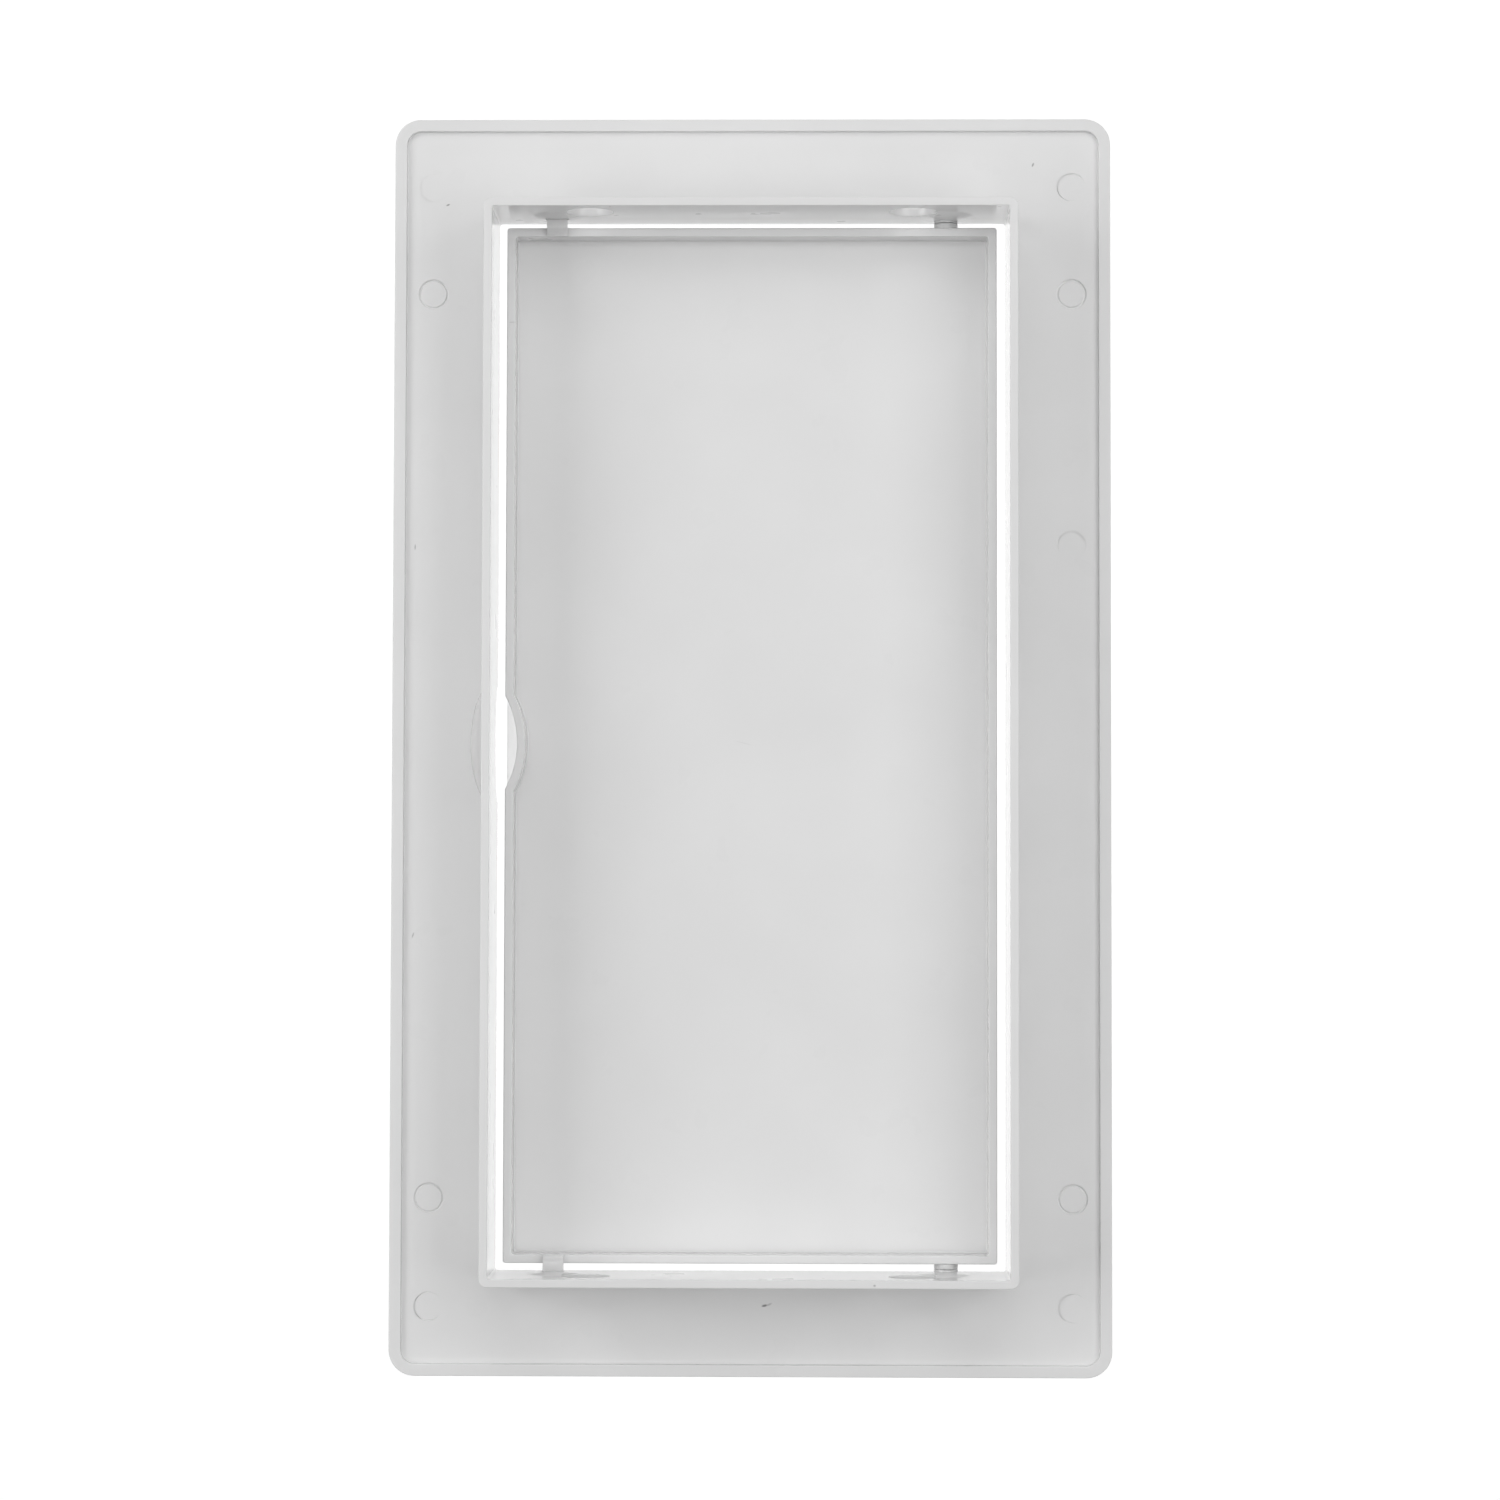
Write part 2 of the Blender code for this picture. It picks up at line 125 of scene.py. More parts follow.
class FlangeSizes(bpy.types.PropertyGroup):
    corner: length("Corner", 7.2 * MM, "Radius of the flange's outer corners")
    plate: length("Plate", 2.0 * MM, "Thickness of the flange inside its rim")
    rim_width: length("Rim width", 3.3 * MM, "Width of the rim turned back toward the ceiling")
    rim_height: length("Rim height", 1.5 * MM, "How far the rim stands above the plate")
    front_round: length("Front round", 1.8 * MM, "Radius of the visible face's outer edge")
    edge_round: length("Edge round", 0.25 * MM, "Radius of the rim's two upper edges")
    fillet: length("Fillet", 0.2 * MM, "Radius where rim and collar meet the plate")
    mark_radius: length("Mark radius", 3.9 * MM, "Radius of the round marks of the ejector pins")


class CollarSizes(bpy.types.PropertyGroup):
    width: length("Width", 146 * MM, "Outer width of the collar")
    length: length("Length", 296.6 * MM, "Outer length of the collar")
    wall: length("Wall", 2.3 * MM, "Thickness of the collar's wall")
    corner: length("Corner", 2.2 * MM, "Radius of the collar's outer corners")
    inner_corner: length("Inner corner", 0.6 * MM, "Radius of the opening's corners")
    edge_round: length("Edge round", 0.2 * MM, "Radius of the collar's two upper edges")
    face_round: length("Face round", 0.25 * MM, "Radius of the opening's edge in the visible face")
    hole_radius: length("Hole radius", 6.5 * MM, "Radius of the fixing holes in the short walls")
    hole_inset: length("Hole inset", 28.5 * MM, "From a long wall's outer face to a hole's centre")
    hole_drop: length("Hole drop", 11 * MM, "From the collar's top to a hole's centre")
    hole_lip: length("Hole lip", 0.3 * MM, "Radius of the fixing holes' edges")


class ScoopSizes(bpy.types.PropertyGroup):
    reach: length("Reach", 5.7 * MM, "How far the scoop goes in beyond the opening's edge")
    half_length: length("Half length", 16.4 * MM, "Half of the scoop's length along the edge")
    height: length("Height", 9 * MM, "How high the scoop rises above the visible face")
    wall: length("Wall", 2.0 * MM, "Thickness of the scoop's own wall")


class DoorSizes(bpy.types.PropertyGroup):
    plate: length("Plate", 2.0 * MM, "Thickness of the door's plate")
    rim: length("Rim", 2.35 * MM, "Width of the rim round the door")
    corner: length("Corner", 0.8 * MM, "Radius of the door's corners")
    front_round: length("Front round", 0.5 * MM, "Radius of the visible face's edge")
    edge_round: length("Edge round", 0.3 * MM, "Radius of the rim's two upper edges")
    fillet: length("Fillet", 0.6 * MM, "Radius where the rim meets the plate")
    notch_chord: length("Notch chord", 25.7 * MM, "Length of the rim's arc at the finger notch")
    notch_depth: length("Notch depth", 3.3 * MM, "How far the rim bows inward there")
    mark_width: length("Mark width", 1.6 * MM, "Width of the small mark in the rim")
    mark_length: length("Mark length", 4.0 * MM, "Length of the small mark in the rim")
    mark_depth: length("Mark depth", 0.4 * MM, "Depth of the small mark in the rim")
    mark_inset: length("Mark inset", 28.3 * MM, "From the door's upper end to the mark's middle")


class HingeSizes(bpy.types.PropertyGroup):
    boss_radius: length("Boss radius", 3.3 * MM, "Radius of the boss and of the pin's shoulder")
    boss_reach: length("Boss reach", 1.1 * MM, "How far the boss stands out of the collar's wall")
    pin_radius: length("Pin radius", 1.7 * MM, "Radius of the pin")
    clearance: length("Clearance", 0.3 * MM, "Gap between the pin and the bores that it sits in")
    shoulder: length("Shoulder", 1.4 * MM, "Thickness of the pin's shoulder")
    end_round: length("End round", 0.3 * MM, "Radius of the edges at the pin's two ends")
    boss_round: length("Boss round", 0.1 * MM, "Radius of the edge of the boss's face")
    shoulder_round: length("Shoulder round", 0.08 * MM, "Radius of the shoulder's edges")


class LatchSizes(bpy.types.PropertyGroup):
    pad_half_width: length("Pad half width", 8 * MM, "Half of the pad's width along the wall")
    pad_half_height: length("Pad half height", 10 * MM, "Half of the pad's height")
    pad_depth: length("Pad depth", 0.7 * MM, "How far the pad stands out of the wall")
    pad_centre: length("Pad centre", 11.5 * MM, "Height of the pad's middle above the visible face")
    width: length("Tongue width", 5.7 * MM, "Width of the tongue")
    thickness: length("Tongue thickness", 0.9 * MM, "Thickness of the tongue over the rim")
    rise: length("Tongue rise", 1.1 * MM, "How far the tongue's back climbs toward its tip")
    tip: length("Tip thickness", 1.5 * MM, "Thickness of the tongue's tip")
    corner: length("Corner", 1.2 * MM, "Radius of the tongue's two inner corners")
    edge_round: length("Edge round", 0.15 * MM, "Radius of the tongue's other edges")
    root_width: length("Root width", 4.0 * MM, "Width of the root in the rim")
    root_thickness: length("Root thickness", 0.75 * MM, "Thickness of the root in the rim")
    gap: length("Gap", 0.3 * MM, "Gap between the tongue and what holds it")


class Finish(bpy.types.PropertyGroup):
    frame_colour: colour("Frame", "#E9E9E9", "Colour of the frame's plastic")
    door_colour: colour("Door", "#E9E9E9", "Colour of the door's plastic")
    pin_colour: colour("Pins", "#E6E6E6", "Colour of the hinge pins' plastic")
    tongue_colour: colour("Tongues", "#E6E6E6", "Colour of the latch tongues' plastic")
    scuff_colour: colour("Scuffs", "#4A4A4A", "Colour of rubbed-in dirt")
    roughness: FloatProperty(
        name="Roughness", default=0.28, min=0, max=1, description="Roughness of the moulded faces"
    )


class StageSizes(bpy.types.PropertyGroup):
    floor_drop: length("Floor drop", 400 * MM, "How far the floor lies below the visible face")
    floor_size: length("Floor size", 8000 * MM, "Length of the floor's sides")
    floor_colour: colour("Floor", "#F2F2F2", "Colour of the floor")
    key_power: power("Key", 5.7, "Power of the lamp beyond the panel's upper end")
    left_power: power("Left", 10.7, "Power of the low lamp on the left")
    right_power: power("Right", 8.9, "Power of the high lamp on the right")
    top_power: power("Top", 3.2, "Power of the lamp straight above")
    table_power: power("Table", 4.5, "Power of the lamp below, which shines up like a light table")
    sky: FloatProperty(
        name="Sky", default=0.17, min=0, description="Level of the even light from all round"
    )


class AccessPanel(bpy.types.PropertyGroup):
    flange: PointerProperty(type=FlangeSizes)
    collar: PointerProperty(type=CollarSizes)
    scoop: PointerProperty(type=ScoopSizes)
    door: PointerProperty(type=DoorSizes)
    hinge: PointerProperty(type=HingeSizes)
    latch: PointerProperty(type=LatchSizes)
    finish: PointerProperty(type=Finish)
    stage: PointerProperty(type=StageSizes)
    round_steps: IntProperty(
        name="Round steps", default=64, min=12, description="Facets round a hole or a pin"
    )


# Modelling by operators. Each helper deselects first, so that an operator works on one piece only


def make_active(piece):
    bpy.ops.object.select_all(action="DESELECT")
    piece.select_set(True)
    bpy.context.view_layer.objects.active = piece


def settle(name):
    """Names the newest primitive and applies its place, turn and size to its mesh."""
    piece = bpy.context.object
    piece.name = name
    piece.data.name = name
    bpy.ops.object.transform_apply(location=True, rotation=True, scale=True)
    return piece


def add_block(name, low, high):
    low, high = Vector(low), Vector(high)
    bpy.ops.object.select_all(action="DESELECT")
    bpy.ops.mesh.primitive_cube_add(size=1, location=(low + high) / 2, scale=high - low)
    return settle(name)


def add_rod(name, start, end, radius, steps):
    """A cylinder that runs along Y or Z."""
    start, end = Vector(start), Vector(end)
    along = end - start
    bpy.ops.object.select_all(action="DESELECT")
    bpy.ops.mesh.primitive_cylinder_add(
        vertices=steps,
        radius=radius,
        depth=along.length,
        location=(start + end) / 2,
        rotation=along.to_track_quat("Z", "Y").to_euler(),
    )
    return settle(name)


def add_ellipsoid(name, centre, half_axes, steps):
    bpy.ops.object.select_all(action="DESELECT")
    bpy.ops.mesh.primitive_uv_sphere_add(
        segments=steps, ring_count=steps // 2, radius=1, location=centre, scale=half_axes
    )
    return settle(name)


def pick_edges(piece, chosen):
    """Enters edit mode with only those creased edges selected whose two ends pass the test."""
    make_active(piece)
    bpy.ops.object.mode_set(mode="EDIT")
    bpy.ops.mesh.select_mode(type="EDGE")
    bpy.ops.mesh.select_all(action="DESELECT")
    mesh = bmesh.from_edit_mesh(piece.data)
    for edge in mesh.edges:
        first, second = (corner.co for corner in edge.verts)
        edge.select_set(edge.calc_face_angle(0) > CREASE and chosen(first, second))
    bmesh.update_edit_mesh(piece.data)


def pick_faces(piece, way):
    """Enters edit mode with only those faces selected that face a way."""
    make_active(piece)
    bpy.ops.object.mode_set(mode="EDIT")
    bpy.ops.mesh.select_mode(type="FACE")
    bpy.ops.mesh.select_all(action="DESELECT")
    bpy.ops.object.mode_set(mode="OBJECT")
    for face in piece.data.polygons:
        face.select = face.normal.dot(way) > FACING
    bpy.ops.object.mode_set(mode="EDIT")


def round_edges(piece, chosen, radius, segments):
    pick_edges(piece, chosen)
    bpy.ops.mesh.bevel(
        offset_type="OFFSET",
        offset=radius,
        segments=segments,
        profile=0.5,
        affect="EDGES",
        clamp_overlap=False,
    )
    bpy.ops.object.mode_set(mode="OBJECT")


def upright(first, second):
    across = math.hypot(first.x - second.x, first.y - second.y)
    return abs(first.z - second.z) > STEEPNESS * across


def level(height, half_width=math.inf, half_length=math.inf):
    """A test for edges that lie at a height, inside a rectangle round the Z axis."""

    def inside(point):
        return (
            abs(point.z - height) < TOUCH
            and abs(point.x) < half_width + TOUCH
            and abs(point.y) < half_length + TOUCH
        )

    return lambda first, second: inside(first) and inside(second)


def at_end(place):
    """A test for edges that lie in a plane across the Y axis."""
    return lambda first, second: abs(first.y - place) < TOUCH and abs(second.y - place) < TOUCH


def boolean(piece, operation, tool):
    make_active(piece)
    step = piece.modifiers.new(tool.name, "BOOLEAN")
    step.operation = operation
    step.solver = "MANIFOLD"
    step.object = tool
    bpy.ops.object.modifier_apply(modifier=step.name)
    bpy.data.objects.remove(tool)


def cut(piece, tool):
    boolean(piece, "DIFFERENCE", tool)


def join(piece, tool):
    boolean(piece, "UNION", tool)


def keep_within(piece, tool):
    boolean(piece, "INTERSECT", tool)


def clean(piece):
    """Merges the doubled corners that cuts leave."""
    make_active(piece)
    bpy.ops.object.mode_set(mode="EDIT")
    bpy.ops.mesh.select_all(action="SELECT")
    bpy.ops.mesh.remove_doubles(threshold=SAME)
    bpy.ops.mesh.dissolve_degenerate(threshold=SAME)
    bpy.ops.object.mode_set(mode="OBJECT")


def smooth(piece):
    """Smooth shading over the rounds, with the flat faces kept flat."""
    make_active(piece)
    bpy.ops.object.shade_smooth_by_angle(angle=SMOOTH_ANGLE)
    weigh = piece.modifiers.new("flat_faces", "WEIGHTED_NORMAL")
    weigh.keep_sharp = True
    weigh.weight = FLAT_WEIGHT
    bpy.ops.object.modifier_apply(modifier=weigh.name)


def hand_over(piece, node, material):
    """The finished piece takes the place of a CAD node and rides with that node's body."""
    bodies = frame["record"]["behaviour"]["bodies"]
    body = next(name for name, nodes in bodies.items() if node in nodes)
    piece.data.materials.clear()
    piece.data.materials.append(material)
    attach(piece, body)
    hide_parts(node)


# Materials


def add_node(tree, kind, inputs, **settings):
    """Adds a node. Each input is a socket's name or number, with a value or a socket to read."""
    node = tree.nodes.new(kind)
    for name, value in settings.items():
        setattr(node, name, value)
    for socket, value in inputs.items():
        if isinstance(value, bpy.types.NodeSocket):
            tree.links.new(value, node.inputs[socket])
        else:
            node.inputs[socket].default_value = value
    return node


# Rubbed-in marks on the flange's back and the collar's end: place, half length, half width, turn
# from X in degrees, and how dark
FRAME_SCUFFS = (
    ((-85.3 * MM, 151.2 * MM, 2.0 * MM), 0.75 * MM, 0.32 * MM, 22, 0.65),
    ((78.5 * MM, 162.4 * MM, 2.0 * MM), 0.85 * MM, 0.36 * MM, 68, 0.55),
    ((-94.0 * MM, 55.0 * MM, 2.0 * MM), 1.1 * MM, 0.26 * MM, 88, 0.42),
    ((-94.0 * MM, -53.3 * MM, 2.0 * MM), 1.1 * MM, 0.3 * MM, 72, 0.34),
    ((4.0 * MM, -155.5 * MM, 2.0 * MM), 1.1 * MM, 0.45 * MM, 12, 0.8),
    ((5.2 * MM, -155.2 * MM, 2.0 * MM), 1.3 * MM, 0.4 * MM, 24, 0.3),
    ((34.0 * MM, -147.4 * MM, 30 * MM), 0.5 * MM, 0.42 * MM, 0, 0.4),
)
DOOR_SCUFFS = (((-2.0 * MM, 0.3 * MM, 2.0 * MM), 3.6 * MM, 0.22 * MM, -14, 0.06),)

# How far a mark reaches above and below its place, and the share of the way in from its edge at
# which it is fully dark
SCUFF_DEPTH = 1.6 * MM
SCUFF_FADE = 0.7

# Real sizes of the patterns in moulded ABS, and how deep or strong each is
HAZE_SIZE = 45 * MM
HAZE_SHARE = 0.965
SATIN_SIZE = 14 * MM
SATIN_RANGE = (-0.01, 0.03)
WARP_SIZE = 60 * MM
WARP_DEPTH = 0.10 * MM
GRAIN_SIZE = 0.45 * MM
GRAIN_DEPTH = 0.0004 * MM

# The values between which a noise pattern mostly lies
NOISE_RANGE = (0.3, 0.7)

# The share of light that goes into the plastic and how far it spreads there, which keeps rims and
# deep corners from going dark. Both are larger where the plastic is thin
GLOW = 0.35
GLOW_DEPTH = 1.5 * MM
THIN_GLOW = 1.0
THIN_GLOW_DEPTH = 16 * MM

# The sheen of the polished faces and of the small, duller parts: how strong and how rough it is,
# and how strong it is on the frame's short walls
POLISH = (1.0, 0.12)
DULL_POLISH = (0.5, 0.3)
DULL_SHARE = 0.62

# The sheen bends light as ABS does, and leaves little gloss to the plastic under it
ABS_IOR = 1.5
UNDER_GLOSS = 0.1


def noise(tree, place, size, detail):
    return add_node(
        tree, "ShaderNodeTexNoise", {"Vector": place, "Scale": 1 / size, "Detail": detail}
    ).outputs["Fac"]


def scuff_mask(tree, place, scuffs):
    """Where the scuffs are, from 0 to how dark each one is."""
    total = None
    for centre, half_length, half_width, turn, darkness in scuffs:
        local = add_node(
            tree,
            "ShaderNodeMapping",
            {
                "Vector": place,
                "Location": centre,
                "Rotation": (0, 0, math.radians(turn)),
                "Scale": (half_length, half_width, SCUFF_DEPTH),
            },
            vector_type="TEXTURE",
        )
        ball = add_node(
            tree,
            "ShaderNodeTexGradient",
            {"Vector": local.outputs[0]},
            gradient_type="SPHERICAL",
        )
        spot = add_node(
            tree,
            "ShaderNodeMapRange",
            {"Value": ball.outputs["Fac"], "From Max": SCUFF_FADE, "To Max": darkness},
            interpolation_type="SMOOTHSTEP",
        )
        if total is None:
            total = spot.outputs[0]
        else:
            total = add_node(
                tree, "ShaderNodeMath", {0: total, 1: spot.outputs[0]}, operation="MAXIMUM"
            ).outputs[0]
    return total


def box_mask(tree, place, low, high):
    """1 inside a box, 0 outside it."""
    low, high = Vector(low), Vector(high)
    local = add_node(
        tree,
        "ShaderNodeMapping",
        {"Vector": place, "Location": (low + high) / 2, "Scale": (high - low) / 2},
        vector_type="TEXTURE",
    )
    far = add_node(tree, "ShaderNodeVectorMath", {0: local.outputs[0]}, operation="ABSOLUTE")
    axes = add_node(tree, "ShaderNodeSeparateXYZ", {"Vector": far.outputs[0]})
    across = add_node(
        tree, "ShaderNodeMath", {0: axes.outputs["X"], 1: axes.outputs["Y"]}, operation="MAXIMUM"
    )
    furthest = add_node(
        tree, "ShaderNodeMath", {0: across.outputs[0], 1: axes.outputs["Z"]}, operation="MAXIMUM"
    )
    return add_node(
        tree, "ShaderNodeMath", {0: furthest.outputs[0], 1: 1.0}, operation="LESS_THAN"
    ).outputs[0]


def moulded_abs(name, base, finish, scuffs=(), polish=POLISH, dull_place=None, thin_place=None):
    """Injection-moulded white ABS: an even satin white, a little hazier here and there, whose
    flat faces carry the faint swell of a thin moulding and the fine bite of the steel mould."""
    material = bpy.data.materials.new(name)
    material.use_nodes = True
    tree = material.node_tree
    shader = tree.nodes["Principled BSDF"]
    place = add_node(tree, "ShaderNodeTexCoord", {}).outputs["Object"]

    # A haze a few centimetres across: the white is a touch greyer where the melt met
    haze = add_node(
        tree,
        "ShaderNodeMapRange",
        {
            "Value": noise(tree, place, HAZE_SIZE, detail=2),
            "From Min": NOISE_RANGE[0],
            "From Max": NOISE_RANGE[1],
            "To Min": HAZE_SHARE,
        },
    )
    tint = add_node(
        tree,
        "ShaderNodeMix",
        {"Factor": 1.0, "A": base, "B": haze.outputs[0]},
        data_type="RGBA",
        blend_type="MULTIPLY",
    )
    shade = tint.outputs["Result"]

    if scuffs:
        soiled = add_node(
            tree,
            "ShaderNodeMix",
            {"Factor": scuff_mask(tree, place, scuffs), "A": shade, "B": finish.scuff_colour[:]},
            data_type="RGBA",
        )
        shade = soiled.outputs["Result"]
    tree.links.new(shade, shader.inputs["Base Color"])

    # Satin that wanders a little, as mould release leaves it
    satin = add_node(
        tree,
        "ShaderNodeMapRange",
        {
            "Value": noise(tree, place, SATIN_SIZE, detail=3),
            "From Min": NOISE_RANGE[0],
            "From Max": NOISE_RANGE[1],
            "To Min": finish.roughness + SATIN_RANGE[0],
            "To Max": finish.roughness + SATIN_RANGE[1],
        },
    )
    tree.links.new(satin.outputs[0], shader.inputs["Roughness"])

    # Swell of the thin plate, and the eroded steel's grain, drawn twice as coarse to show at all.
    # Both are heights in metres
    swell = add_node(
        tree,
        "ShaderNodeMath",
        {0: noise(tree, place, WARP_SIZE, detail=0), 1: WARP_DEPTH},
        operation="MULTIPLY",
    )
    relief = add_node(
        tree,
        "ShaderNodeMath",
        {0: noise(tree, place, GRAIN_SIZE, detail=1), 1: GRAIN_DEPTH, 2: swell.outputs[0]},
        operation="MULTIPLY_ADD",
    )
    bump = add_node(tree, "ShaderNodeBump", {"Height": relief.outputs[0], "Distance": 1.0})
    tree.links.new(bump.outputs[0], shader.inputs["Normal"])

    # Seen at a glancing angle even a satin face turns mirror-like, as the collar's long walls do
    sheen_weight, sheen_roughness = polish
    constants = {
        "Coat Weight": sheen_weight,
        "Coat Roughness": sheen_roughness,
        "Coat IOR": ABS_IOR,
        "Specular IOR Level": UNDER_GLOSS,
        "Subsurface Weight": GLOW,
        "Subsurface Radius": (1, 1, 1),
        "Subsurface Scale": GLOW_DEPTH,
    }
    for socket, value in constants.items():
        shader.inputs[socket].default_value = value
    if dull_place:
        # The short walls stay grey at the same angle, since the mould was left duller there
        either_end = add_node(tree, "ShaderNodeVectorMath", {0: place}, operation="ABSOLUTE")
        sheen = add_node(
            tree,
            "ShaderNodeMapRange",
            {
                "Value": box_mask(tree, either_end.outputs[0], *dull_place),
                "To Min": sheen_weight,
                "To Max": DULL_SHARE,
            },
        )
        tree.links.new(sheen.outputs[0], shader.inputs["Coat Weight"])
    if thin_place:
        # The ledge behind the finger notch is whiter: it is thin, and light comes up through it
        thin = box_mask(tree, place, *thin_place)
        weight = add_node(
            tree, "ShaderNodeMapRange", {"Value": thin, "To Min": GLOW, "To Max": THIN_GLOW}
        )
        spread = add_node(
            tree,
            "ShaderNodeMapRange",
            {"Value": thin, "To Min": GLOW_DEPTH, "To Max": THIN_GLOW_DEPTH},
        )
        tree.links.new(weight.outputs[0], shader.inputs["Subsurface Weight"])
        tree.links.new(spread.outputs[0], shader.inputs["Subsurface Scale"])
    return material


# Frame


# Ejector marks on the flange's back: place, depth of the dip, half width of the groove round it,
# and how far and which way the groove leans, in degrees
EJECTOR_MARKS = (
    ((89.2 * MM, 126.0 * MM), 0.1 * MM, 0.4 * MM, 0.4, 110),
    ((-89.2 * MM, 126.0 * MM), 0.1 * MM, 0.35 * MM, 0.4, 60),
    ((89.2 * MM, -126.0 * MM), 0.1 * MM, 0.38 * MM, 0.4, 150),
    ((-89.2 * MM, -126.0 * MM), 0.1 * MM, 0.35 * MM, 0.4, 60),
    ((89.2 * MM, 156.0 * MM), 0.01 * MM, 0.18 * MM, 3.0, 150),
    ((-89.2 * MM, 156.0 * MM), 0.01 * MM, 0.05 * MM, 1.0, 200),
    ((89.2 * MM, -156.0 * MM), 0.01 * MM, 0.14 * MM, 2.8, 165),
    ((-89.2 * MM, -156.0 * MM), 0.01 * MM, 0.2 * MM, 3.0, 185),
    ((89.2 * MM, 55.5 * MM), 0.01 * MM, 0.1 * MM, 2.4, 90),
)

# How many insets dome a pad's face, and the share of it that they cover, to leave a middle face
PAD_RINGS = 6
PAD_SHARE = 0.999

# Facets across a fixing hole's lip and across an ejector mark's groove
LIP_STEPS = 4
GROOVE_STEPS = 8

# How many times a hole's facets the scoop has, and the circle that the door's rim bows on
SCOOP_TIMES = 2
BOW_TIMES = 3


def build_flange(flange):
    """A plate with round corners, its back sunk inside a rim and its front edge rounded."""
    top = flange.plate + flange.rim_height
    high = Vector((FRAME_HIGH.x, FRAME_HIGH.y, FRAME_LOW.z + top))
    piece = add_block("frame_shell", FRAME_LOW, high)
    round_edges(piece, upright, flange.corner, segments=14)
    pick_faces(piece, UP)
    bpy.ops.mesh.inset(thickness=flange.rim_width)
    bpy.ops.mesh.extrude_region_move(TRANSFORM_OT_translate={"value": (0, 0, -flange.rim_height)})
    bpy.ops.object.mode_set(mode="OBJECT")
    half_width = high.x - flange.rim_width
    half_length = high.y - flange.rim_width
    on_top = level(top)
    on_inner_edge = level(top, half_width + flange.edge_round, half_length + flange.edge_round)

    def on_outer_edge(first, second):
        return on_top(first, second) and not on_inner_edge(first, second)

    round_edges(piece, level(0), flange.front_round, segments=8)
    round_edges(piece, level(top, half_width, half_length), flange.edge_round, segments=4)
    round_edges(piece, on_outer_edge, flange.edge_round, segments=4)
    round_edges(piece, level(flange.plate), flange.fillet, segments=4)
    return piece


def add_collar(piece, flange, collar):
    """The wall round the opening, joined to the flange, with every edge rounded."""
    half_width, half_length = collar.width / 2, collar.length / 2
    foot = flange.plate - SINK
    wall = add_block(
        "collar", (-half_width, -half_length, foot), (half_width, half_length, FRAME_HIGH.z)
    )
    round_edges(wall, upright, collar.corner, segments=8)
    join(piece, wall)
    clean(piece)
    round_edges(piece, level(flange.plate, half_width, half_length), flange.fillet, segments=4)
    inner_width, inner_length = half_width - collar.wall, half_length - collar.wall
    opening = add_block(
        "opening",
        (-inner_width, -inner_length, -OVER),
        (inner_width, inner_length, FRAME_HIGH.z + OVER),
    )
    round_edges(opening, upright, collar.inner_corner, segments=4)
    cut(piece, opening)
    clean(piece)
    round_edges(piece, level(FRAME_HIGH.z), collar.edge_round, segments=4)
    round_edges(piece, level(0, inner_width, inner_length), collar.face_round, segments=3)


def add_scoop(piece, collar, scoop, steps):
    """The finger scoop in the visible face, and the bulge that it makes on the flange's back."""
    edge = -collar.width / 2 + collar.wall
    centre = (edge, 0, 0)
    half_axes = Vector((scoop.reach, scoop.half_length, scoop.height))
    wall = Vector((scoop.wall, scoop.wall, scoop.wall))
    bulge = add_ellipsoid("scoop_bulge", centre, half_axes + wall, SCOOP_TIMES * steps)
    outside = add_block(
        "outside",
        (FRAME_LOW.x, -collar.length / 2, SINK),
        (edge - collar.wall / 2, collar.length / 2, FRAME_HIGH.z),
    )
    keep_within(bulge, outside)
    join(piece, bulge)
    cut(piece, add_ellipsoid("scoop", centre, half_axes, SCOOP_TIMES * steps))


def add_pad(piece, across, wall, sign, latch, steps):
    """A shallow lens on a short wall: a disc whose face is domed by insets."""
    start = Vector((across, wall + sign * SINK, latch.pad_centre))
    end = Vector((across, wall, latch.pad_centre))
    pad = add_rod("pad", start, end, latch.pad_half_width, steps)
    for ring in range(PAD_RINGS):
        near, far = ring / PAD_RINGS, (ring + 1) / PAD_RINGS
        rise = latch.pad_depth * (math.sin(far * math.pi / 2) - math.sin(near * math.pi / 2))
        pick_faces(pad, Vector((0, -sign, 0)))
        bpy.ops.mesh.inset(thickness=PAD_SHARE * latch.pad_half_width / PAD_RINGS, depth=rise)
        bpy.ops.object.mode_set(mode="OBJECT")
    make_active(pad)
    bpy.ops.object.mode_set(mode="EDIT")
    bpy.ops.mesh.select_all(action="SELECT")
    bpy.ops.transform.resize(
        value=(1, 1, latch.pad_half_height / latch.pad_half_width), center_override=end
    )
    bpy.ops.object.mode_set(mode="OBJECT")
    join(piece, pad)


def add_boss(piece, wall, sign, hinge, steps):
    """The boss on a short wall that a hinge pin turns in."""
    face = wall - sign * hinge.boss_reach
    start = Vector((HINGE_AXIS.x, wall + sign * SINK, HINGE_AXIS.z))
    end = Vector((HINGE_AXIS.x, face, HINGE_AXIS.z))
    boss = add_rod("boss", start, end, hinge.boss_radius, steps)
    round_edges(boss, at_end(face), hinge.boss_round, segments=3)
    join(piece, boss)


